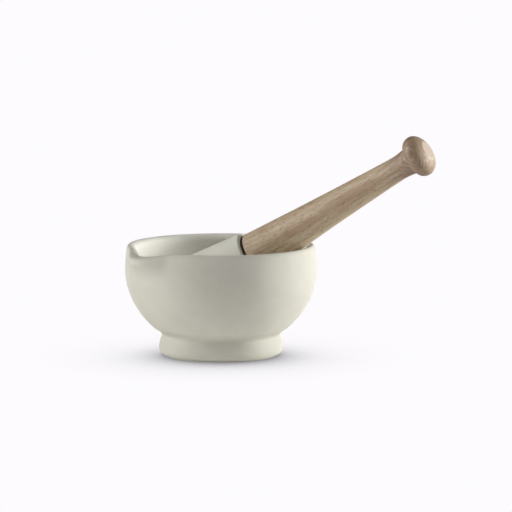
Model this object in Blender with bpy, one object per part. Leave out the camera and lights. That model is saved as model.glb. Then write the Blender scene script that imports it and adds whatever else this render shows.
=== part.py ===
"""Stoneware mortar with a pouring spout, and its wooden-handled pestle.

The frame has +Z up and its origin at the centre of the mortar's flat base.
The spout points towards -Y. Units are metres. The pestle is drawn upright on
its own axis, with its joint plane at z = 0, and is then laid in the bowl.
"""

from math import atan2, cos, hypot, pi, radians, sin

import bmesh
import bpy
from mathutils import Matrix, Vector

# Clearance between neighbouring pieces.
GAP = 0.0003

# Mortar, outside.
BASE_RADIUS = 0.0415
FOOT_RADIUS = 0.0487
FOOT_BELLY_HEIGHT = 0.0060
FOOT_FLARE_POWER = 1.6
WAIST_RADIUS = 0.0464
WAIST_HEIGHT = 0.0158
BELLY_RADIUS = 0.0750
BELLY_HEIGHT = 0.0669
BELLY_DROP = 0.0645
BELLY_FULLNESS = 1.9
FILLET_TOP_HEIGHT = 0.0215
FILLET_POWER = 1.9

# Mortar, lip and inside.
RIM_HEIGHT = 0.0870
LIP_CREST_RADIUS = 0.0714
LIP_OUTER_WIDTH = 0.0027
LIP_INNER_WIDTH = 0.0052
LIP_DEPTH = 0.0052
LIP_SQUARENESS = 2.1
BOWL_FLOOR_HEIGHT = 0.0270
BOWL_FULLNESS = 2.3

# Pouring spout, centred on -Y: the lip dips and leans out, and the wall under it swells.
SPOUT_DIP = 0.0039
SPOUT_DIP_ANGLE = radians(31)
SPOUT_DEPTH = 0.0158
SPOUT_REACH = 0.0085
SPOUT_REACH_ANGLE = radians(23)
SPOUT_LIP_SHARE = 0.58
SPOUT_SWELL_FULL = 0.0055
SPOUT_SWELL_DEPTH = 0.0240

# Pestle head, measured down from the joint plane.
HEAD_COLLAR_RADIUS = 0.0203
HEAD_COLLAR_ROUND = 0.0016
HEAD_BELLY_RADIUS = 0.0264
HEAD_BELLY_DEPTH = 0.0540
HEAD_LENGTH = 0.0722
SOCKET_RADIUS = 0.0128
SOCKET_DEPTH = 0.0290

# Cement between the head and the handle.
CEMENT_RING_RADIUS = 0.0172
CEMENT_RING_THICKNESS = 0.0014

# Handle, measured up from the joint plane.
HANDLE_END_RADIUS = 0.0175
HANDLE_EDGE_ROUND = 0.0007
HANDLE_TAPER_POWER = 1.2
NECK_RADIUS = 0.0095
NECK_HEIGHT = 0.1380
COVE_TOP_RADIUS = 0.0110
COVE_TOP_HEIGHT = 0.1510
KNOB_RADIUS = 0.0166
KNOB_CENTRE_HEIGHT = 0.1579
KNOB_DOME_HEIGHT = 0.0102
HANDLE_LENGTH = 0.1670
TENON_RADIUS = 0.0110
TENON_LENGTH = 0.0270
GROOVE_DEPTH = 0.0010
GROOVE_WIDTH = 0.0030
GROOVE_DEPTHS = (0.0080, 0.0180)

# How the pestle lies: it leans on the rim, in a vertical plane through the
# mortar's axis, with its joint plane's centre at this radius and height.
PESTLE_TILT = radians(31.35)
PESTLE_AZIMUTH = radians(32.6)
JOINT_RADIUS = 0.02922
JOINT_HEIGHT = 0.08039

# Facets around each turned piece.
MORTAR_SEGMENTS = 72
PESTLE_SEGMENTS = 40
CEMENT_SEGMENTS = 32
SMOOTH_ANGLE = radians(35)
MERGE_DISTANCE = 1e-6

# Colour and roughness of each material.
STONEWARE = (0.71, 0.69, 0.60)
STONEWARE_ROUGHNESS = 0.6
BEECH = (0.56, 0.39, 0.25)
BEECH_ROUGHNESS = 0.55
CEMENT = (0.045, 0.032, 0.024)
CEMENT_ROUGHNESS = 0.7


def clear_scene():
    """Remove every object of the startup scene."""
    for item in list(bpy.data.objects):
        bpy.data.objects.remove(item, do_unlink=True)


def material(name, colour, roughness):
    """A plain Principled material."""
    made = bpy.data.materials.new(name)
    made.use_nodes = True
    shader = made.node_tree.nodes["Principled BSDF"]
    shader.inputs["Base Color"].default_value = (*colour, 1.0)
    shader.inputs["Roughness"].default_value = roughness
    shader.inputs["Metallic"].default_value = 0.0
    return made


def steps(count, start=0.0, end=1.0):
    """Evenly spaced values from start to end, both included."""
    return [start + (end - start) * index / count for index in range(count + 1)]


def fade(amount):
    """Smooth ramp from 0 to 1."""
    held = min(max(amount, 0.0), 1.0)
    return held * held * (3.0 - 2.0 * held)


def turned_mesh(name, outline, segments):
    """Spin an outline of (radius, height) points about Z into one closed body."""
    bm = bmesh.new()
    verts = [bm.verts.new((radius, 0.0, height)) for radius, height in outline]
    edges = [bm.edges.new(pair) for pair in zip(verts, verts[1:])]
    if outline[0][0] > 0.0:
        edges.append(bm.edges.new((verts[-1], verts[0])))
    bmesh.ops.spin(
        bm,
        geom=verts + edges,
        cent=(0, 0, 0),
        axis=(0, 0, 1),
        angle=2 * pi,
        steps=segments,
        use_merge=True,
    )
    bmesh.ops.remove_doubles(bm, verts=bm.verts, dist=MERGE_DISTANCE)
    bmesh.ops.recalc_face_normals(bm, faces=bm.faces)
    mesh = bpy.data.meshes.new(name)
    bm.to_mesh(mesh)
    bm.free()
    mesh.shade_smooth()
    mesh.set_sharp_from_angle(angle=SMOOTH_ANGLE)
    return mesh


def add_piece(name, mesh, finish, parent=None):
    """Link a mesh as a named object with its material."""
    piece = bpy.data.objects.new(name, mesh)
    mesh.materials.append(finish)
    bpy.context.scene.collection.objects.link(piece)
    piece.parent = parent
    return piece


def squircle(angle, power):
    """Cosine and sine of a superellipse."""
    across = abs(cos(angle)) ** (2 / power)
    up = abs(sin(angle)) ** (2 / power)
    return (across if cos(angle) >= 0 else -across), up


def foot_outline():
    """Base centre, base edge, rounded foot and its waist."""
    points = [(0.0, 0.0)]
    for turn in steps(6, 0, pi / 2):
        radius = BASE_RADIUS + (FOOT_RADIUS - BASE_RADIUS) * sin(turn)
        points.append((radius, FOOT_BELLY_HEIGHT * (1 - cos(turn))))
    for share in steps(4)[1:]:
        radius = FOOT_RADIUS - (FOOT_RADIUS - WAIST_RADIUS) * share**FOOT_FLARE_POWER
        points.append((radius, FOOT_BELLY_HEIGHT + (WAIST_HEIGHT - FOOT_BELLY_HEIGHT) * share))
    return points


def belly_radius(height):
    """Outer radius of the bowl between its waist and its widest point."""
    depth = (BELLY_HEIGHT - height) / BELLY_DROP
    return BELLY_RADIUS * (1 - depth**BELLY_FULLNESS) ** 0.5


def waist_fillet():
    """Hollow curve from the waist out to the bowl's underside."""
    top_radius = belly_radius(FILLET_TOP_HEIGHT)
    points = []
    for share in steps(3)[1:]:
        height = WAIST_HEIGHT + (FILLET_TOP_HEIGHT - WAIST_HEIGHT) * share
        points.append((WAIST_RADIUS + (top_radius - WAIST_RADIUS) * share**FILLET_POWER, height))
    return points


def bowl_outline():
    """Outside of the bowl from the fillet up to the start of the lip."""
    low_angle = pi / 2 - atan2(belly_radius(FILLET_TOP_HEIGHT), BELLY_HEIGHT - FILLET_TOP_HEIGHT)
    points = []
    for angle in steps(10, low_angle, 0)[1:]:
        height = BELLY_HEIGHT - (BELLY_HEIGHT - FILLET_TOP_HEIGHT) * sin(angle) / sin(low_angle)
        points.append((belly_radius(height), height))
    lip_height = RIM_HEIGHT - LIP_DEPTH
    lip_radius = LIP_CREST_RADIUS + LIP_OUTER_WIDTH
    for share in steps(4)[1:-1]:
        radius = BELLY_RADIUS - (BELLY_RADIUS - lip_radius) * share**2
        points.append((radius, BELLY_HEIGHT + (lip_height - BELLY_HEIGHT) * share))
    return points


def lip_outline():
    """Rounded lip from its outer side over the crest to its inner side."""
    points = []
    for angle in steps(10, 0, pi):
        across, up = squircle(angle, LIP_SQUARENESS)
        width = LIP_OUTER_WIDTH if across > 0 else LIP_INNER_WIDTH
        points.append((LIP_CREST_RADIUS + width * across, RIM_HEIGHT - LIP_DEPTH + LIP_DEPTH * up))
    return points


def inside_outline():
    """Inside of the bowl from the lip down to the centre of its floor."""
    mouth_radius = LIP_CREST_RADIUS - LIP_INNER_WIDTH
    mouth_height = RIM_HEIGHT - LIP_DEPTH
    points = []
    for angle in steps(14, 0, pi / 2)[1:-1]:
        across, down = squircle(angle, BOWL_FULLNESS)
        points.append((mouth_radius * across, mouth_height - (mouth_height - BOWL_FLOOR_HEIGHT) * down))
    points.append((0.0, BOWL_FLOOR_HEIGHT))
    return points


def pull_spout(mesh):
    """Dip the lip around -Y and lean it out, with the outer wall swelling under it."""
    for vertex in mesh.vertices:
        place = vertex.co
        radius = hypot(place.x, place.y)
        if radius < WAIST_RADIUS:
            continue
        around = abs(atan2(place.x, -place.y))
        below = RIM_HEIGHT - place.z
        level = fade(1 - below / SPOUT_DEPTH)
        swell = fade((SPOUT_SWELL_DEPTH - below) / (SPOUT_SWELL_DEPTH - SPOUT_SWELL_FULL))
        outer = fade((radius - LIP_CREST_RADIUS) / LIP_OUTER_WIDTH)
        share = SPOUT_LIP_SHARE * level * (1 - outer) + swell * outer
        reach = SPOUT_REACH * share * fade(1 - around / SPOUT_REACH_ANGLE)
        place.x += place.x / radius * reach
        place.y += place.y / radius * reach
        place.z -= SPOUT_DIP * level * fade(1 - around / SPOUT_DIP_ANGLE)


def make_mortar(finish):
    """Foot, bowl, lip and spout in one body."""
    outline = foot_outline() + waist_fillet() + bowl_outline() + lip_outline() + inside_outline()
    mesh = turned_mesh("mortar", outline, MORTAR_SEGMENTS)
    turn_seam = Matrix.Rotation(pi / 2, 4, "Z")
    mesh.transform(turn_seam)
    pull_spout(mesh)
    return add_piece("mortar", mesh, finish)


def head_outline():
    """Grinding head from the tip up its outside, then down into the socket."""
    tip = -HEAD_LENGTH
    belly = -HEAD_BELLY_DEPTH
    collar = -(2 * GAP + CEMENT_RING_THICKNESS)
    points = [(0.0, tip)]
    for angle in steps(9, 0, pi / 2)[1:]:
        points.append((HEAD_BELLY_RADIUS * sin(angle), belly - (HEAD_LENGTH - HEAD_BELLY_DEPTH) * cos(angle)))
    side_top = collar - HEAD_COLLAR_ROUND
    for share in steps(7)[1:]:
        radius = HEAD_BELLY_RADIUS - (HEAD_BELLY_RADIUS - HEAD_COLLAR_RADIUS) * share
        points.append((radius, belly + (side_top - belly) * share))
    for angle in steps(3, 0, pi / 2)[1:]:
        radius = HEAD_COLLAR_RADIUS - HEAD_COLLAR_ROUND * (1 - cos(angle))
        points.append((radius, side_top + HEAD_COLLAR_ROUND * sin(angle)))
    points.append((SOCKET_RADIUS, collar))
    points.append((SOCKET_RADIUS, -SOCKET_DEPTH))
    points.append((0.0, -SOCKET_DEPTH))
    return points


def grooved_wall(radius, step):
    """Wall that follows the tenon's glue grooves, offset outwards by step."""
    points = []
    for depth in GROOVE_DEPTHS:
        upper = -depth
        lower = -depth - GROOVE_WIDTH
        inner = radius - GROOVE_DEPTH
        points += [(radius, upper - step), (inner, upper - step - GROOVE_DEPTH)]
        points += [(inner, lower + step + GROOVE_DEPTH), (radius, lower + step)]
    return points


def cement_outline():
    """Cup of cement around the tenon, with its visible ring at the joint."""
    inner = TENON_RADIUS + GAP
    outer = SOCKET_RADIUS - GAP
    floor_low = -SOCKET_DEPTH + GAP
    floor_high = -TENON_LENGTH - GAP
    ring_top = -GAP
    ring_low = ring_top - CEMENT_RING_THICKNESS
    points = [(0.0, floor_low), (outer, floor_low), (outer, ring_low), (CEMENT_RING_RADIUS, ring_low)]
    points += [(CEMENT_RING_RADIUS, ring_top), (inner, ring_top)]
    points += grooved_wall(inner, GAP)
    points += [(inner, floor_high), (0.0, floor_high)]
    return points


def tenon_outline():
    """Tenon from its end up to the handle's shoulder."""
    points = [(0.0, -TENON_LENGTH), (TENON_RADIUS, -TENON_LENGTH)]
    points += reversed(grooved_wall(TENON_RADIUS, 0.0))
    points.append((TENON_RADIUS, 0.0))
    return points


def shaft_outline():
    """Shoulder, taper, neck and cove of the handle."""
    points = []
    for angle in steps(2, 0, pi / 2):
        radius = HANDLE_END_RADIUS - HANDLE_EDGE_ROUND * (1 - sin(angle))
        points.append((radius, HANDLE_EDGE_ROUND * (1 - cos(angle))))
    for share in steps(12)[1:]:
        height = HANDLE_EDGE_ROUND + (NECK_HEIGHT - HANDLE_EDGE_ROUND) * share
        radius = NECK_RADIUS + (HANDLE_END_RADIUS - NECK_RADIUS) * (1 - share) ** HANDLE_TAPER_POWER
        points.append((radius, height))
    for share in steps(4)[1:]:
        radius = NECK_RADIUS + (COVE_TOP_RADIUS - NECK_RADIUS) * share**2
        points.append((radius, NECK_HEIGHT + (COVE_TOP_HEIGHT - NECK_HEIGHT) * share))
    return points


def knob_outline():
    """Bead knob from the cove round to its flat end."""
    points = []
    for angle in steps(6, 0, pi / 2)[1:]:
        radius = COVE_TOP_RADIUS + (KNOB_RADIUS - COVE_TOP_RADIUS) * sin(angle)
        points.append((radius, KNOB_CENTRE_HEIGHT - (KNOB_CENTRE_HEIGHT - COVE_TOP_HEIGHT) * cos(angle)))
    reach = (HANDLE_LENGTH - KNOB_CENTRE_HEIGHT) / KNOB_DOME_HEIGHT
    last_angle = atan2(reach, (1 - reach**2) ** 0.5)
    for angle in steps(6, 0, last_angle)[1:]:
        points.append((KNOB_RADIUS * cos(angle), KNOB_CENTRE_HEIGHT + KNOB_DOME_HEIGHT * sin(angle)))
    points.append((0.0, HANDLE_LENGTH))
    return points


def make_seat():
    """Empty at the joint's centre, with its Z along the pestle towards the knob."""
    seat = bpy.data.objects.new("pestle_seat", None)
    bpy.context.scene.collection.objects.link(seat)
    across = JOINT_RADIUS * Vector((cos(PESTLE_AZIMUTH), sin(PESTLE_AZIMUTH), 0))
    seat.location = across + Vector((0, 0, JOINT_HEIGHT))
    seat.rotation_euler = (0.0, pi / 2 - PESTLE_TILT, PESTLE_AZIMUTH)
    return seat


def make_pestle(ceramic, wood, cement):
    """Head, cement and handle on one axis."""
    seat = make_seat()
    head = turned_mesh("pestle_head", head_outline(), PESTLE_SEGMENTS)
    add_piece("pestle_head", head, ceramic, seat)
    bond = turned_mesh("joint_cement", cement_outline(), CEMENT_SEGMENTS)
    add_piece("joint_cement", bond, cement, seat)
    shaft = turned_mesh("pestle_handle", tenon_outline() + shaft_outline() + knob_outline(), PESTLE_SEGMENTS)
    add_piece("pestle_handle", shaft, wood, seat)


def main():
    """Build the mortar and lay the pestle in it."""
    clear_scene()
    stoneware = material("stoneware", STONEWARE, STONEWARE_ROUGHNESS)
    beech = material("beech", BEECH, BEECH_ROUGHNESS)
    cement = material("cement", CEMENT, CEMENT_ROUGHNESS)
    make_mortar(stoneware)
    make_pestle(stoneware, beech, cement)
    bpy.context.view_layer.update()


main()
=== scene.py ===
"""Studio scene of a stoneware mortar and its wooden-handled pestle.

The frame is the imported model's: metres, +Z up, origin at the centre of the
mortar's flat base, spout towards -Y. Every piece is turned afresh at a finer
step than the frame, with softened edges, and rides on its frame body.
"""

from math import atan2, cos, hypot, pi, radians, sin

import bmesh
import bpy
from mathutils import Euler, Matrix, Vector, noise


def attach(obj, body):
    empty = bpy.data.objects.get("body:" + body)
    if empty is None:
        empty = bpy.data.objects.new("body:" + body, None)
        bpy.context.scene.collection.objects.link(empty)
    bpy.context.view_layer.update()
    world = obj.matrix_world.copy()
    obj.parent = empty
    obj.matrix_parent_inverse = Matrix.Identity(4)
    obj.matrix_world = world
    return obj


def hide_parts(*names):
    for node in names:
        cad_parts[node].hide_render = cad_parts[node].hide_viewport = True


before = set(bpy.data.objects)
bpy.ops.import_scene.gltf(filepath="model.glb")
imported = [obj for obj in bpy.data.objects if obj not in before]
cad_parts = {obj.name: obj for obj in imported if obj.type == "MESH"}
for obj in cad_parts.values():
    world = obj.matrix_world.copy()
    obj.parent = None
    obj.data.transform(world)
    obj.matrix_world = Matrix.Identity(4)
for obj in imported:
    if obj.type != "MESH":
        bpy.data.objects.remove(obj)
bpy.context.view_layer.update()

MM = 0.001

# Mortar, outside (same sections as the frame).
BASE_RADIUS = 0.0415
FOOT_RADIUS = 0.0487
FOOT_BELLY_HEIGHT = 0.0060
FOOT_FLARE_POWER = 1.6
WAIST_RADIUS = 0.0464
WAIST_HEIGHT = 0.0158
BELLY_RADIUS = 0.0750
BELLY_HEIGHT = 0.0669
BELLY_DROP = 0.0645
BELLY_FULLNESS = 1.9
FILLET_TOP_HEIGHT = 0.0215
FILLET_POWER = 1.9

# Mortar, lip and inside.
RIM_HEIGHT = 0.0870
LIP_CREST_RADIUS = 0.0714
LIP_OUTER_WIDTH = 0.0027
LIP_INNER_WIDTH = 0.0052
LIP_DEPTH = 0.0052
LIP_SQUARENESS = 2.1
BOWL_FLOOR_HEIGHT = 0.0270
BOWL_FULLNESS = 2.3

# Pouring spout, centred on -Y: the lip dips and leans out, and the wall under it swells.
SPOUT_DIP = 0.0039
SPOUT_DIP_ANGLE = radians(31)
SPOUT_DEPTH = 0.0158
SPOUT_REACH = 0.0085
SPOUT_REACH_ANGLE = radians(23)
SPOUT_LIP_SHARE = 0.58
SPOUT_SWELL_FULL = 0.0055
SPOUT_SWELL_DEPTH = 0.0240

# Hand finish: how far a turned surface wanders inwards, and over what distance.
WANDER = 0.00018
WANDER_MEAN = 0.6
WANDER_SWING = 0.4
WANDER_SIZE = 0.045
MORTAR_SEED = 3.0
HANDLE_SEED = 7.0

# Pestle head, down from the joint plane.
HEAD_COLLAR_RADIUS = 0.0203
HEAD_COLLAR_ROUND = 0.0016
HEAD_BELLY_RADIUS = 0.0264
HEAD_BELLY_DEPTH = 0.0540
HEAD_LENGTH = 0.0722
HEAD_COLLAR_DEPTH = 0.0020
SOCKET_RADIUS = 0.0128
SOCKET_DEPTH = 0.0290

# Cement between head and handle.
CEMENT_RING_RADIUS = 0.0172
CEMENT_RING_TOP = -0.0003
CEMENT_RING_LOW = -0.0017
CEMENT_INNER_RADIUS = 0.0113
CEMENT_BULGE = 0.0003

# Handle, up from the joint plane.
HANDLE_END_RADIUS = 0.0175
HANDLE_EDGE_ROUND = 0.0007
HANDLE_TAPER_POWER = 1.2
NECK_RADIUS = 0.0095
NECK_HEIGHT = 0.1380
COVE_TOP_RADIUS = 0.0110
COVE_TOP_HEIGHT = 0.1510
KNOB_RADIUS = 0.0166
KNOB_CENTRE_HEIGHT = 0.1579
KNOB_DOME_HEIGHT = 0.0102
HANDLE_LENGTH = 0.1670
TENON_RADIUS = 0.0110
TENON_LENGTH = 0.0270

# How the pestle lies in the frame.
PESTLE_TILT = radians(31.35)
PESTLE_AZIMUTH = radians(32.6)
JOINT_RADIUS = 0.02922
JOINT_HEIGHT = 0.08039

MORTAR_SEGMENTS = 224
PESTLE_SEGMENTS = 128
CEMENT_SEGMENTS = 96
SMOOTH_ANGLE = radians(35)
MERGE_DISTANCE = 1e-6

# Below this height the foot's underside is pressed flat again.
GROUND_SKIN = 0.3 * MM

# Mark of the bowl's inside on the mortar's points; the stoneware uses it to paint the inside paler, as
# painted light.
INSIDE_MARK = "inside"
INSIDE_LEAD = 0.3
INSIDE_MARGIN = 0.3 * MM

# Camera.
VIEW_AZIMUTH = radians(55.0)
VIEW_ELEVATION = radians(8.4831)
VIEW_DISTANCE = 3.4225
VIEW_PAN = radians(0.4640)
VIEW_PITCH = radians(7.1944)
SENSOR_WIDTH = 36.0
LENS = 306.8

# Light: name, level, turn from the camera towards the picture's right, height, width.
SUNS = (
    ("softbox_right_rear", 0.80, radians(110), radians(9), radians(16)),
    ("softbox_right_side", 0.58, radians(80), radians(25), radians(40)),
    ("softbox_left_side", 0.52, radians(-92), radians(25), radians(30)),
    ("softbox_left_front", 0.35, radians(-75), radians(10), radians(20)),
)

# Floor, with a painted shadow close to the object.
FLOOR_REACH = 24.0
FLOOR_ALBEDO = 0.95
FLOOR_WHITE = (0.983, 0.967, 0.991)
SHADE_REACH = 0.10
SHADE_SAMPLES = 16
SHADE_TILT = radians(14)
SHADE_OPEN = 1.17
SHADE_POWER = 3.4
SHADE_DEPTH = 1.70
SHADE_LIMIT = 0.31
BOUNCE_GLOW = 0.12


def steps(count, start=0.0, end=1.0):
    """Evenly spaced values from start to end, both included."""
    return [start + (end - start) * index / count for index in range(count + 1)]


def fade(amount):
    """Smooth ramp from 0 to 1."""
    held = min(max(amount, 0.0), 1.0)
    return held * held * (3.0 - 2.0 * held)


def squircle(angle, power):
    """Cosine and sine of a superellipse."""
    across = abs(cos(angle)) ** (2 / power)
    up = abs(sin(angle)) ** (2 / power)
    return (across if cos(angle) >= 0 else -across), up


# ---------------------------------------------------------------- geometry


def turned_mesh(name, outline, segments):
    """Spin an outline of (radius, height) points about Z into one closed body."""
    bm = bmesh.new()
    verts = [bm.verts.new((radius, 0.0, height)) for radius, height in outline]
    edges = [bm.edges.new(pair) for pair in zip(verts, verts[1:])]
    if outline[0][0] > 0.0:
        edges.append(bm.edges.new((verts[-1], verts[0])))
    bmesh.ops.spin(
        bm,
        geom=verts + edges,
        cent=(0, 0, 0),
        axis=(0, 0, 1),
        angle=2 * pi,
        steps=segments,
        use_merge=True,
    )
    bmesh.ops.remove_doubles(bm, verts=bm.verts, dist=MERGE_DISTANCE)
    bmesh.ops.recalc_face_normals(bm, faces=bm.faces)
    mesh = bpy.data.meshes.new(name)
    bm.to_mesh(mesh)
    bm.free()
    mesh.shade_smooth()
    mesh.set_sharp_from_angle(angle=SMOOTH_ANGLE)
    return mesh


def add_piece(name, mesh, finish, body, node, place=None):
    """Link a mesh as the piece that stands for a frame node and rides on its body."""
    if place is not None:
        mesh.transform(place)
    piece = bpy.data.objects.new(name, mesh)
    mesh.materials.append(finish)
    bpy.context.scene.collection.objects.link(piece)
    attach(piece, body)
    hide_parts(node)
    return piece


def foot_outline():
    """Base centre, base edge, rounded foot and its waist."""
    points = [(0.0, 0.0)]
    points += [(BASE_RADIUS * share, 0.0) for share in steps(8)[1:-1]]
    for turn in steps(20, 0, pi / 2):
        radius = BASE_RADIUS + (FOOT_RADIUS - BASE_RADIUS) * sin(turn)
        points.append((radius, FOOT_BELLY_HEIGHT * (1 - cos(turn))))
    for share in steps(12)[1:]:
        radius = FOOT_RADIUS - (FOOT_RADIUS - WAIST_RADIUS) * share**FOOT_FLARE_POWER
        points.append((radius, FOOT_BELLY_HEIGHT + (WAIST_HEIGHT - FOOT_BELLY_HEIGHT) * share))
    return points


def belly_radius(height):
    """Outer radius of the bowl between its waist and its widest point."""
    depth = (BELLY_HEIGHT - height) / BELLY_DROP
    return BELLY_RADIUS * (1 - depth**BELLY_FULLNESS) ** 0.5


def waist_fillet():
    """Hollow curve from the waist out to the bowl's underside."""
    top_radius = belly_radius(FILLET_TOP_HEIGHT)
    points = []
    for share in steps(10)[1:]:
        height = WAIST_HEIGHT + (FILLET_TOP_HEIGHT - WAIST_HEIGHT) * share
        points.append((WAIST_RADIUS + (top_radius - WAIST_RADIUS) * share**FILLET_POWER, height))
    return points


def bowl_outline():
    """Outside of the bowl from the fillet up to the start of the lip."""
    low_angle = pi / 2 - atan2(belly_radius(FILLET_TOP_HEIGHT), BELLY_HEIGHT - FILLET_TOP_HEIGHT)
    points = []
    for angle in steps(44, low_angle, 0)[1:]:
        height = BELLY_HEIGHT - (BELLY_HEIGHT - FILLET_TOP_HEIGHT) * sin(angle) / sin(low_angle)
        points.append((belly_radius(height), height))
    lip_height = RIM_HEIGHT - LIP_DEPTH
    lip_radius = LIP_CREST_RADIUS + LIP_OUTER_WIDTH
    for share in steps(16)[1:-1]:
        radius = BELLY_RADIUS - (BELLY_RADIUS - lip_radius) * share**2
        points.append((radius, BELLY_HEIGHT + (lip_height - BELLY_HEIGHT) * share))
    return points


def lip_outline():
    """Rounded lip from its outer side over the crest to its inner side."""
    points = []
    for angle in steps(36, 0, pi):
        across, up = squircle(angle, LIP_SQUARENESS)
        width = LIP_OUTER_WIDTH if across > 0 else LIP_INNER_WIDTH
        points.append((LIP_CREST_RADIUS + width * across, RIM_HEIGHT - LIP_DEPTH + LIP_DEPTH * up))
    return points


def inside_outline():
    """Inside of the bowl from the lip down to the centre of its floor."""
    mouth_radius = LIP_CREST_RADIUS - LIP_INNER_WIDTH
    mouth_height = RIM_HEIGHT - LIP_DEPTH
    points = []
    for angle in steps(56, 0, pi / 2)[1:-1]:
        across, down = squircle(angle, BOWL_FULLNESS)
        points.append((mouth_radius * across, mouth_height - (mouth_height - BOWL_FLOOR_HEIGHT) * down))
    points.append((0.0, BOWL_FLOOR_HEIGHT))
    return points


def pull_spout(mesh):
    """Dip the lip around -Y and lean it out, with the outer wall swelling under it."""
    for vertex in mesh.vertices:
        place = vertex.co
        radius = hypot(place.x, place.y)
        if radius < WAIST_RADIUS:
            continue
        around = abs(atan2(place.x, -place.y))
        below = RIM_HEIGHT - place.z
        level = fade(1 - below / SPOUT_DEPTH)
        swell = fade((SPOUT_SWELL_DEPTH - below) / (SPOUT_SWELL_DEPTH - SPOUT_SWELL_FULL))
        outer = fade((radius - LIP_CREST_RADIUS) / LIP_OUTER_WIDTH)
        share = SPOUT_LIP_SHARE * level * (1 - outer) + swell * outer
        reach = SPOUT_REACH * share * fade(1 - around / SPOUT_REACH_ANGLE)
        place.x += place.x / radius * reach
        place.y += place.y / radius * reach
        place.z -= SPOUT_DIP * level * fade(1 - around / SPOUT_DIP_ANGLE)


def wander_surface(mesh, depth, size, seed):
    """Let a turned surface wander inwards a little, as hand finishing leaves it."""
    normals = [vertex.normal.copy() for vertex in mesh.vertices]
    for vertex, normal in zip(mesh.vertices, normals):
        wave = noise.noise(vertex.co / size + Vector((seed, 0, 0)))
        vertex.co -= normal * depth * (WANDER_MEAN + WANDER_SWING * wave)


def mark_inside(mesh):
    """Store how far each point belongs to the bowl's inside, from 0 to 1."""
    mark = mesh.attributes.new(INSIDE_MARK, "FLOAT", "POINT")
    for vertex, value in zip(mesh.vertices, mark.data):
        radius = hypot(vertex.co.x, vertex.co.y)
        if vertex.co.z > BELLY_HEIGHT:
            value.value = fade((LIP_CREST_RADIUS - radius) / LIP_INNER_WIDTH + INSIDE_LEAD)
        elif vertex.co.z > BOWL_FLOOR_HEIGHT - INSIDE_MARGIN:
            value.value = float(radius < belly_radius(vertex.co.z) - LIP_INNER_WIDTH)


def make_mortar(finish):
    """Foot, bowl, lip and spout in one body."""
    outline = foot_outline() + waist_fillet() + bowl_outline() + lip_outline() + inside_outline()
    mesh = turned_mesh("mortar_body", outline, MORTAR_SEGMENTS)
    mesh.transform(Matrix.Rotation(pi / 2, 4, "Z"))
    mark_inside(mesh)
    pull_spout(mesh)
    wander_surface(mesh, WANDER, WANDER_SIZE, MORTAR_SEED)
    for vertex in mesh.vertices:
        vertex.co.z *= vertex.co.z > GROUND_SKIN
    return add_piece("mortar_body", mesh, finish, "mortar", "mortar")


def head_outline():
    """Grinding head from the tip up its outside, then down into the socket."""
    tip = -HEAD_LENGTH
    belly = -HEAD_BELLY_DEPTH
    collar = -HEAD_COLLAR_DEPTH
    points = [(0.0, tip)]
    for angle in steps(30, 0, pi / 2)[1:]:
        height = belly - (HEAD_LENGTH - HEAD_BELLY_DEPTH) * cos(angle)
        points.append((HEAD_BELLY_RADIUS * sin(angle), height))
    side_top = collar - HEAD_COLLAR_ROUND
    for share in steps(40)[1:]:
        radius = HEAD_BELLY_RADIUS - (HEAD_BELLY_RADIUS - HEAD_COLLAR_RADIUS) * share
        points.append((radius, belly + (side_top - belly) * share))
    for angle in steps(10, 0, pi / 2)[1:]:
        radius = HEAD_COLLAR_RADIUS - HEAD_COLLAR_ROUND * (1 - cos(angle))
        points.append((radius, side_top + HEAD_COLLAR_ROUND * sin(angle)))
    points.append((SOCKET_RADIUS, collar))
    points.append((SOCKET_RADIUS, -SOCKET_DEPTH))
    points.append((0.0, -SOCKET_DEPTH))
    return points


def cement_outline():
    """Ring of cement that shows at the joint."""
    edge_radius = CEMENT_RING_RADIUS - CEMENT_BULGE
    points = [(CEMENT_INNER_RADIUS, CEMENT_RING_LOW), (edge_radius, CEMENT_RING_LOW)]
    middle = (CEMENT_RING_LOW + CEMENT_RING_TOP) / 2
    half = (CEMENT_RING_TOP - CEMENT_RING_LOW) / 2
    for angle in steps(8, -pi / 2, pi / 2)[1:-1]:
        radius = CEMENT_RING_RADIUS - CEMENT_BULGE * (1 - cos(angle))
        points.append((radius, middle + half * sin(angle)))
    points += [(edge_radius, CEMENT_RING_TOP), (CEMENT_INNER_RADIUS, CEMENT_RING_TOP)]
    return points


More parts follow.
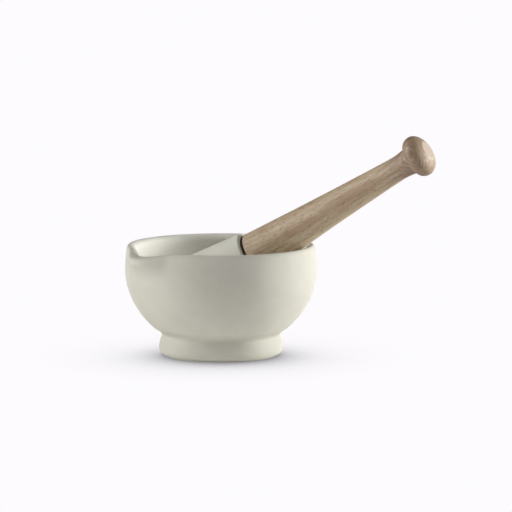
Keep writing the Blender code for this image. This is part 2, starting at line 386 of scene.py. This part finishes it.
def handle_outline():
    """Tenon, shoulder, taper, neck, cove and knob of the handle."""
    points = [(0.0, -TENON_LENGTH), (TENON_RADIUS, -TENON_LENGTH), (TENON_RADIUS, 0.0)]
    for angle in steps(6, 0, pi / 2):
        radius = HANDLE_END_RADIUS - HANDLE_EDGE_ROUND * (1 - sin(angle))
        points.append((radius, HANDLE_EDGE_ROUND * (1 - cos(angle))))
    for share in steps(90)[1:]:
        height = HANDLE_EDGE_ROUND + (NECK_HEIGHT - HANDLE_EDGE_ROUND) * share
        radius = NECK_RADIUS + (HANDLE_END_RADIUS - NECK_RADIUS) * (1 - share) ** HANDLE_TAPER_POWER
        points.append((radius, height))
    for share in steps(16)[1:]:
        radius = NECK_RADIUS + (COVE_TOP_RADIUS - NECK_RADIUS) * share**2
        points.append((radius, NECK_HEIGHT + (COVE_TOP_HEIGHT - NECK_HEIGHT) * share))
    for angle in steps(20, 0, pi / 2)[1:]:
        radius = COVE_TOP_RADIUS + (KNOB_RADIUS - COVE_TOP_RADIUS) * sin(angle)
        points.append((radius, KNOB_CENTRE_HEIGHT - (KNOB_CENTRE_HEIGHT - COVE_TOP_HEIGHT) * cos(angle)))
    reach = (HANDLE_LENGTH - KNOB_CENTRE_HEIGHT) / KNOB_DOME_HEIGHT
    last_angle = atan2(reach, (1 - reach**2) ** 0.5)
    for angle in steps(24, 0, last_angle)[1:]:
        points.append((KNOB_RADIUS * cos(angle), KNOB_CENTRE_HEIGHT + KNOB_DOME_HEIGHT * sin(angle)))
    facet_radius = points[-1][0]
    points += [(facet_radius * share, HANDLE_LENGTH) for share in steps(6, 1.0, 0.0)[1:]]
    return points


def seat_pose():
    """Centre of the joint plane, and the turn that takes Z along the pestle."""
    across = JOINT_RADIUS * Vector((cos(PESTLE_AZIMUTH), sin(PESTLE_AZIMUTH), 0))
    return across + Vector((0, 0, JOINT_HEIGHT)), Euler((0.0, pi / 2 - PESTLE_TILT, PESTLE_AZIMUTH))


def make_pestle(ceramic, wood, cement):
    """Head, cement ring and handle on the pestle's own axis."""
    centre, turn = seat_pose()
    place = Matrix.Translation(centre) @ turn.to_matrix().to_4x4()
    head = turned_mesh("pestle_head_body", head_outline(), PESTLE_SEGMENTS)
    add_piece("pestle_head_body", head, ceramic, "pestle", "pestle_head", place)
    ring = turned_mesh("cement_ring", cement_outline(), CEMENT_SEGMENTS)
    add_piece("cement_ring", ring, cement, "pestle", "joint_cement", place)
    shaft = turned_mesh("handle_turned", handle_outline(), PESTLE_SEGMENTS)
    wander_surface(shaft, WANDER, WANDER_SIZE, HANDLE_SEED)
    add_piece("handle_turned", shaft, wood, "pestle", "pestle_handle", place)


# --------------------------------------------------------------- materials


class Nodes:
    """Short calls for building one node tree."""

    def __init__(self, name, seated=False):
        self.made = bpy.data.materials.new(name)
        self.made.use_nodes = True
        self.tree = self.made.node_tree
        self.shader = self.tree.nodes["Principled BSDF"]
        self.coords = self.add("ShaderNodeTexCoord").outputs["Object"]
        if seated:
            centre, turn = seat_pose()
            along_pestle = self.add("ShaderNodeMapping", vector_type="TEXTURE")
            self.feed(along_pestle.inputs["Vector"], self.coords)
            along_pestle.inputs["Location"].default_value = centre
            along_pestle.inputs["Rotation"].default_value = turn
            self.coords = along_pestle.outputs[0]

    def add(self, kind, **settings):
        """A node of one kind with its properties set."""
        node = self.tree.nodes.new(kind)
        for key, value in settings.items():
            setattr(node, key, value)
        return node

    def feed(self, socket, value):
        """Set a socket to a constant, or link it to another node's output."""
        if isinstance(value, bpy.types.NodeSocket):
            self.tree.links.new(value, socket)
        elif isinstance(value, (tuple, list)) and len(value) == 3 and socket.type == "RGBA":
            socket.default_value = (*value, 1.0)
        else:
            socket.default_value = value

    def math(self, operation, *values):
        """Result of a Math node."""
        node = self.add("ShaderNodeMath", operation=operation)
        for socket, value in zip(node.inputs, values):
            self.feed(socket, value)
        return node.outputs[0]

    def vector(self, operation, *values):
        """Result of a Vector Math node."""
        node = self.add("ShaderNodeVectorMath", operation=operation)
        for socket, value in zip(node.inputs, values):
            self.feed(socket, value)
        return node.outputs["Vector"]

    def stretch(self, scale):
        """Coordinates multiplied by a scale on each axis."""
        return self.vector("MULTIPLY", self.coords, scale)

    def mix_heights(self, first, second):
        """Sum of two values, each given with its weight."""
        return self.math("ADD", self.math("MULTIPLY", *first), self.math("MULTIPLY", *second))

    def noise(self, vector, scale, detail=2.0, roughness=0.5, distortion=0.0):
        """Noise value, 0 to 1."""
        node = self.add("ShaderNodeTexNoise")
        self.feed(node.inputs["Vector"], vector)
        node.inputs["Scale"].default_value = scale
        node.inputs["Detail"].default_value = detail
        node.inputs["Roughness"].default_value = roughness
        node.inputs["Distortion"].default_value = distortion
        return node.outputs["Fac"]

    def spots(self, vector, scale):
        """Distance to the nearest of scattered points."""
        node = self.add("ShaderNodeTexVoronoi")
        self.feed(node.inputs["Vector"], vector)
        node.inputs["Scale"].default_value = scale
        node.inputs["Randomness"].default_value = 1.0
        return node.outputs["Distance"]

    def shade(self, colour, amount):
        """Multiply a colour by a grey amount."""
        node = self.add("ShaderNodeVectorMath", operation="SCALE")
        self.feed(node.inputs[0], colour)
        self.feed(node.inputs["Scale"], amount)
        return node.outputs[0]

    def ramp(self, value, low, high, start=0.0, end=1.0):
        """Smoothly map value from low..high to start..end, clamped."""
        node = self.add("ShaderNodeMapRange", interpolation_type="SMOOTHSTEP")
        for socket, amount in zip(node.inputs, (value, low, high, start, end)):
            self.feed(socket, amount)
        return node.outputs[0]

    def blend(self, amount, first, second, mode="MIX"):
        """Mix two colours."""
        node = self.add("ShaderNodeMix", data_type="RGBA", blend_type=mode)
        self.feed(node.inputs["Factor"], amount)
        colours = [socket for socket in node.inputs if socket.type == "RGBA"]
        self.feed(colours[0], first)
        self.feed(colours[1], second)
        return [socket for socket in node.outputs if socket.type == "RGBA"][0]

    def bump(self, height, distance, strength=1.0):
        """Send a height through a Bump node to the shader's normal."""
        node = self.add("ShaderNodeBump")
        node.inputs["Strength"].default_value = strength
        node.inputs["Distance"].default_value = distance
        self.feed(node.inputs["Height"], height)
        self.feed(self.shader.inputs["Normal"], node.outputs["Normal"])

    def finish(self, colour, roughness, specular=0.5):
        """Connect colour and roughness to the shader."""
        self.feed(self.shader.inputs["Base Color"], colour)
        self.feed(self.shader.inputs["Roughness"], roughness)
        self.shader.inputs["Specular IOR Level"].default_value = specular
        return self.made


STONE_BODY = (0.606, 0.591, 0.510)
# Paler inside colour: painted light on the bowl's inside.
STONE_INSIDE_LIT = (0.752, 0.738, 0.660)
STONE_HEAD = (0.730, 0.717, 0.625)
# Darker foot colour: painted shade under the bowl's overhang.
STONE_FOOT_SHADED = (0.532, 0.521, 0.448)
STONE_SPECK = (0.21, 0.17, 0.12)
HEAD_SHIFT = 4.0

# Stoneware texture: waves per metre, and how strongly each one tells.
CLOUD_SCALE = 38.0
MOTTLE_SCALE = 420.0
GRIT_SCALE = 2600.0
CLOUD_SHARE = 0.7
MOTTLE_SHARE = 0.3
CLOUD_TONE = (0.965, 1.025)
GRIT_TONE = (0.985, 1.01)
SPECK_SCALE = 95.0
SPECK_EDGE = (0.030, 0.055)
SPECK_STRENGTH = 0.75
SPECK_PATCH_SCALE = 60.0
SPECK_PATCH_EDGE = (0.60, 0.66)
TURNING_SCALE = (40.0, 40.0, 900.0)
GRIT_HEIGHT = 0.5
TURNING_HEIGHT = 0.6
STONE_BUMP = 0.05 * MM
STONE_BUMP_STRENGTH = 0.5
STONE_ROUGHNESS = (0.66, 0.86)
STONE_SPECULAR = 0.35


def stone_surface(nodes, seed, colour):
    """Cloud, grit, rare specks and faint turning lines over a body colour."""
    shifted = nodes.vector("ADD", nodes.coords, (seed, 0.0, 0.0))
    clouds = nodes.noise(shifted, CLOUD_SCALE, 4.0, 0.55)
    mottle = nodes.noise(shifted, MOTTLE_SCALE, 3.0, 0.6)
    grit = nodes.noise(shifted, GRIT_SCALE, 2.0, 0.6)
    tone = nodes.mix_heights((clouds, CLOUD_SHARE), (mottle, MOTTLE_SHARE))
    colour = nodes.shade(colour, nodes.ramp(tone, 0.36, 0.64, *CLOUD_TONE))
    colour = nodes.shade(colour, nodes.ramp(grit, 0.30, 0.70, *GRIT_TONE))
    specks = nodes.ramp(nodes.spots(shifted, SPECK_SCALE), *SPECK_EDGE, SPECK_STRENGTH, 0.0)
    rare = nodes.ramp(nodes.noise(shifted, SPECK_PATCH_SCALE, 1.0), *SPECK_PATCH_EDGE)
    colour = nodes.blend(nodes.math("MULTIPLY", specks, rare), colour, STONE_SPECK)
    turning = nodes.noise(nodes.stretch(TURNING_SCALE), 1.0, 2.0)
    height = nodes.mix_heights((grit, GRIT_HEIGHT), (turning, TURNING_HEIGHT))
    nodes.bump(height, STONE_BUMP, STONE_BUMP_STRENGTH)
    return nodes.finish(colour, nodes.ramp(mottle, 0.3, 0.7, *STONE_ROUGHNESS), STONE_SPECULAR)


def mortar_finish():
    """Unglazed stoneware, painted paler inside as painted light and a little darker on the foot as
    painted shade.
    """
    nodes = Nodes("stoneware")
    painted_inside_light = nodes.add("ShaderNodeAttribute", attribute_name=INSIDE_MARK)
    parts = nodes.add("ShaderNodeSeparateXYZ")
    nodes.feed(parts.inputs[0], nodes.coords)
    # Painted shade: the foot and waist under the bowl's overhang are coloured darker.
    low = nodes.ramp(parts.outputs[2], WAIST_HEIGHT, FILLET_TOP_HEIGHT, 1.0, 0.0)
    colour = nodes.blend(low, STONE_BODY, STONE_FOOT_SHADED)
    # Painted light: the bowl's inside is coloured paler.
    colour = nodes.blend(painted_inside_light.outputs["Fac"], colour, STONE_INSIDE_LIT)
    return stone_surface(nodes, 0.0, colour)


def head_finish():
    """The pestle head's paler stoneware."""
    nodes = Nodes("head_stoneware", seated=True)
    return stone_surface(nodes, HEAD_SHIFT, STONE_HEAD)


CEMENT_DARK = (0.050, 0.036, 0.027)
CEMENT_PALE = (0.105, 0.078, 0.058)
CEMENT_GRIT_SCALE = 1500.0
CEMENT_BUMP = 0.2 * MM
CEMENT_ROUGHNESS = (0.6, 0.85)
CEMENT_SPECULAR = 0.3


def cement_finish():
    """Dark jointing cement with a little grit."""
    nodes = Nodes("cement", seated=True)
    grit = nodes.noise(nodes.coords, CEMENT_GRIT_SCALE, 3.0)
    colour = nodes.blend(nodes.ramp(grit, 0.35, 0.7), CEMENT_DARK, CEMENT_PALE)
    nodes.bump(grit, CEMENT_BUMP)
    return nodes.finish(colour, nodes.ramp(grit, 0.3, 0.7, *CEMENT_ROUGHNESS), CEMENT_SPECULAR)


BEECH_PALE = (0.625, 0.512, 0.350)
BEECH_MID = (0.470, 0.346, 0.220)
BEECH_RED = (0.390, 0.250, 0.158)
BEECH_DARK = (0.230, 0.148, 0.092)
BEECH_END = (0.68, 0.630, 0.645)
BEECH_FACET = (0.600, 0.495, 0.395)
FACET_EDGE = 0.45 * MM
FACET_SHARE = 0.75
END_GRAIN_START = 0.122

# Growth rings: the pith lies outside the stick and leans to its length.
PITH = (0.006, 0.044)
PITH_LEAN = (0.03, 0.09)
RING_WIDTH = 0.0015
RING_BEND = 0.0040
RING_WARP = (70.0, 70.0, 14.0)
RING_STRENGTH = (0.20, 0.70)

# Redder heart, laid as painted shade down the middle of the handle's camera-facing side: it starts above
# the joint and fades before the neck.
HEART_SHADE_WIDTH = 0.0075
HEART_SHADE_BEND = 0.010
HEART_SHADE_WARP = (60.0, 60.0, 22.0)
HEART_SHADE_STRENGTH = 0.60
HEART_SHADE_START = (0.010, 0.070)
HEART_SHADE_FADE_HEIGHT = 0.105

# Grain: waves per metre across, deep and along the stick.
STREAK_SCALE = (430.0, 430.0, 34.0)
PATCH_SCALE = (120.0, 120.0, 40.0)
FIBRE_SCALE = (1700.0, 1700.0, 190.0)
FLECK_SCALE = (950.0, 950.0, 240.0)
LATHE_SCALE = (1.0, 1.0, 1300.0)
PATCH_STRENGTH = 0.80
FIBRE_STRENGTH = 0.40
FLECK_STRENGTH = 0.55
LATHE_HEIGHT = 0.3
FIBRE_HEIGHT = -0.9
BEECH_BUMP = 0.10 * MM
BEECH_BUMP_STRENGTH = 0.6
BEECH_ROUGHNESS = (0.46, 0.60)
BEECH_SPECULAR = 0.5


def beech_rings(nodes, across, deep, along):
    """Growth rings about a pith outside the stick, 0 in early wood to 1 in late wood."""
    warp = nodes.noise(nodes.stretch(RING_WARP), 1.0, 2.0)
    bend = nodes.math("MULTIPLY", nodes.math("SUBTRACT", warp, 0.5), RING_BEND)
    from_x = nodes.math("SUBTRACT", across, nodes.math("MULTIPLY_ADD", along, PITH_LEAN[0], PITH[0]))
    from_y = nodes.math("SUBTRACT", deep, nodes.math("MULTIPLY_ADD", along, PITH_LEAN[1], PITH[1]))
    squared = nodes.mix_heights((from_x, from_x), (from_y, from_y))
    reach = nodes.math("ADD", nodes.math("SQRT", squared), bend)
    ring = nodes.math("FRACT", nodes.math("DIVIDE", reach, RING_WIDTH))
    return nodes.math("SUBTRACT", nodes.ramp(ring, 0.0, 0.80), nodes.ramp(ring, 0.86, 1.0))


def beech_heart_and_shade(nodes, across, along):
    """Redder band that wanders through the middle of the stick, a heart colour that also paints shade
    down the side facing the camera.
    """
    warp = nodes.noise(nodes.stretch(HEART_SHADE_WARP), 1.0, 3.0)
    bend = nodes.math("MULTIPLY", nodes.math("SUBTRACT", warp, 0.5), HEART_SHADE_BEND)
    off = nodes.math("ABSOLUTE", nodes.math("ADD", across, bend))
    band = nodes.ramp(off, 0.1 * HEART_SHADE_WIDTH, HEART_SHADE_WIDTH, HEART_SHADE_STRENGTH, 0.0)
    grown = nodes.ramp(along, *HEART_SHADE_START, 0.30, 1.0)
    faded = nodes.ramp(along, HEART_SHADE_FADE_HEIGHT, NECK_HEIGHT, 1.0, 0.15)
    return nodes.math("MULTIPLY", band, nodes.math("MULTIPLY", grown, faded))


def beech_finish():
    """Oiled beech as a solid: heart band that also paints shade, rings, fine streaks, short flecks,
    darker end grain.
    """
    nodes = Nodes("beech", seated=True)
    parts = nodes.add("ShaderNodeSeparateXYZ")
    nodes.feed(parts.inputs[0], nodes.coords)
    across, deep, along = parts.outputs
    rounded = nodes.ramp(along, KNOB_CENTRE_HEIGHT, HANDLE_LENGTH, 1.0, 0.25)
    end = nodes.math("MULTIPLY", nodes.ramp(along, END_GRAIN_START, COVE_TOP_HEIGHT), rounded)
    cut_end = nodes.ramp(along, NECK_HEIGHT, COVE_TOP_HEIGHT)
    ring_amount = nodes.ramp(cut_end, 0.0, 1.0, *RING_STRENGTH)
    rings = nodes.math("MULTIPLY", beech_rings(nodes, across, deep, along), ring_amount)
    ring_colour = nodes.blend(nodes.ramp(cut_end, 0.0, 1.0, 0.0, 0.5), BEECH_RED, BEECH_DARK)
    streaks = nodes.noise(nodes.stretch(STREAK_SCALE), 1.0, 3.0, 0.55)
    patches = nodes.noise(nodes.stretch(PATCH_SCALE), 1.0, 3.0, 0.6, 0.4)
    fibres = nodes.noise(nodes.stretch(FIBRE_SCALE), 1.0, 2.0, 0.6)
    flecks = nodes.noise(nodes.stretch(FLECK_SCALE), 1.0, 1.0)
    colour = nodes.blend(nodes.ramp(streaks, 0.30, 0.70), BEECH_PALE, BEECH_MID)
    # Painted shade: the redder heart band lies down the middle of the handle's side that faces the
    # camera.
    colour = nodes.blend(beech_heart_and_shade(nodes, across, along), colour, BEECH_RED)
    colour = nodes.blend(nodes.ramp(patches, 0.52, 0.74, 0.0, PATCH_STRENGTH), colour, BEECH_RED)
    colour = nodes.blend(rings, colour, ring_colour)
    colour = nodes.blend(nodes.ramp(fibres, 0.50, 0.70, 0.0, FIBRE_STRENGTH), colour, BEECH_DARK)
    colour = nodes.blend(nodes.ramp(flecks, 0.60, 0.70, 0.0, FLECK_STRENGTH), colour, BEECH_DARK)
    colour = nodes.blend(end, colour, nodes.blend(1.0, colour, BEECH_END, "MULTIPLY"))
    facet_rise = (HANDLE_LENGTH - FACET_EDGE, HANDLE_LENGTH - FACET_EDGE / 2)
    colour = nodes.blend(nodes.ramp(along, *facet_rise, 0.0, FACET_SHARE), colour, BEECH_FACET)
    lathe = nodes.noise(nodes.stretch(LATHE_SCALE), 1.0, 1.0)
    height = nodes.mix_heights((lathe, LATHE_HEIGHT), (fibres, FIBRE_HEIGHT))
    nodes.bump(height, BEECH_BUMP, BEECH_BUMP_STRENGTH)
    return nodes.finish(colour, nodes.ramp(streaks, 0.3, 0.7, *BEECH_ROUGHNESS), BEECH_SPECULAR)


def painted_floor_shadow(nodes):
    """How much the object closes off the floor's light, seen from a slightly leaning floor: a painted
    shadow for the floor's glow.
    """
    near = nodes.add("ShaderNodeAmbientOcclusion", samples=SHADE_SAMPLES)
    near.inputs["Distance"].default_value = SHADE_REACH
    back = view_axes()[0]
    leaning = nodes.add("ShaderNodeCombineXYZ")
    for socket, value in zip(leaning.inputs, Vector((0, 0, cos(SHADE_TILT))) - back * sin(SHADE_TILT)):
        nodes.feed(socket, value)
    nodes.feed(near.inputs["Normal"], leaning.outputs[0])
    closed = nodes.math("DIVIDE", nodes.math("SUBTRACT", SHADE_OPEN, near.outputs["AO"]), SHADE_OPEN)
    return nodes.math("MULTIPLY", nodes.math("POWER", closed, SHADE_POWER), SHADE_DEPTH)


def floor_finish():
    """White sweep: to the camera a glow with a soft painted shadow close to the object, and an even
    bounce elsewhere.
    """
    nodes = Nodes("floor")
    nodes.tree.nodes.remove(nodes.shader)
    matt = nodes.add("ShaderNodeBsdfDiffuse")
    matt.inputs["Color"].default_value = (FLOOR_ALBEDO, FLOOR_ALBEDO, FLOOR_ALBEDO, 1.0)
    glow = nodes.add("ShaderNodeEmission")
    glow.inputs["Color"].default_value = (*FLOOR_WHITE, 1.0)
    # Painted shadow: the floor's glow is dimmed where the object closes off its light.
    left = nodes.math("SUBTRACT", 1.0, painted_floor_shadow(nodes))
    nodes.feed(glow.inputs["Strength"], nodes.math("MAXIMUM", left, SHADE_LIMIT))
    lift = nodes.add("ShaderNodeEmission")
    lift.inputs["Strength"].default_value = BOUNCE_GLOW
    bounce = nodes.add("ShaderNodeAddShader")
    nodes.feed(bounce.inputs[0], matt.outputs[0])
    nodes.feed(bounce.inputs[1], lift.outputs[0])
    path = nodes.add("ShaderNodeLightPath")
    both = nodes.add("ShaderNodeMixShader")
    nodes.feed(both.inputs[0], path.outputs["Is Camera Ray"])
    nodes.feed(both.inputs[1], bounce.outputs[0])
    nodes.feed(both.inputs[2], glow.outputs[0])
    nodes.feed(nodes.tree.nodes["Material Output"].inputs["Surface"], both.outputs[0])
    return nodes.made


# ----------------------------------------------------------------- staging


def make_floor():
    """Large pale floor under the mortar."""
    bm = bmesh.new()
    bmesh.ops.create_grid(bm, x_segments=2, y_segments=2, size=FLOOR_REACH)
    mesh = bpy.data.meshes.new("floor")
    bm.to_mesh(mesh)
    bm.free()
    floor = bpy.data.objects.new("floor", mesh)
    mesh.materials.append(floor_finish())
    bpy.context.scene.collection.objects.link(floor)


def view_axes():
    """Unit vectors from the object to the camera and to the picture's right."""
    back = Vector((sin(VIEW_AZIMUTH), -cos(VIEW_AZIMUTH), 0))
    right = Vector((cos(VIEW_AZIMUTH), sin(VIEW_AZIMUTH), 0))
    return back, right


def add_sun(name, level, azimuth, elevation, angle):
    """Broad soft light; azimuth turns from the camera towards the picture's right."""
    back, right = view_axes()
    level_way = back * cos(azimuth) + right * sin(azimuth)
    source = level_way * cos(elevation) + Vector((0, 0, sin(elevation)))
    data = bpy.data.lights.new(name, "SUN")
    data.energy = level * pi
    data.angle = angle
    lamp = bpy.data.objects.new(name, data)
    lamp.rotation_euler = source.to_track_quat("Z", "Y").to_euler()
    bpy.context.scene.collection.objects.link(lamp)


def make_world():
    """White behind everything, and no light of its own."""
    world = bpy.data.worlds.new("studio")
    bpy.context.scene.world = world
    world.use_nodes = True
    tree = world.node_tree
    tree.nodes.clear()
    seen = tree.nodes.new("ShaderNodeBackground")
    seen.inputs["Color"].default_value = (*FLOOR_WHITE, 1.0)
    path = tree.nodes.new("ShaderNodeLightPath")
    output = tree.nodes.new("ShaderNodeOutputWorld")
    tree.links.new(path.outputs["Is Camera Ray"], seen.inputs["Strength"])
    tree.links.new(seen.outputs[0], output.inputs["Surface"])


def make_camera():
    """Camera at the level and side the object is seen from."""
    back, right = view_axes()
    ahead = -back * cos(VIEW_PAN) + right * sin(VIEW_PAN)
    ahead = ahead * cos(VIEW_PITCH) - Vector((0, 0, sin(VIEW_PITCH)))
    side = right * cos(VIEW_PAN) + back * sin(VIEW_PAN)
    up = side.cross(ahead)
    place = back * VIEW_DISTANCE * cos(VIEW_ELEVATION)
    place += Vector((0, 0, VIEW_DISTANCE * sin(VIEW_ELEVATION)))
    turn = Matrix((side, up, -ahead)).transposed().to_4x4()
    data = bpy.data.cameras.new("camera")
    data.sensor_width = SENSOR_WIDTH
    data.lens = LENS
    camera = bpy.data.objects.new("camera", data)
    camera.matrix_world = Matrix.Translation(place) @ turn
    bpy.context.scene.collection.objects.link(camera)
    bpy.context.scene.camera = camera


def main():
    """Build the pieces and the studio."""
    make_mortar(mortar_finish())
    make_pestle(head_finish(), beech_finish(), cement_finish())
    make_floor()
    make_world()
    for sun in SUNS:
        add_sun(*sun)
    make_camera()
    bpy.context.scene.view_settings.view_transform = "Standard"


main()
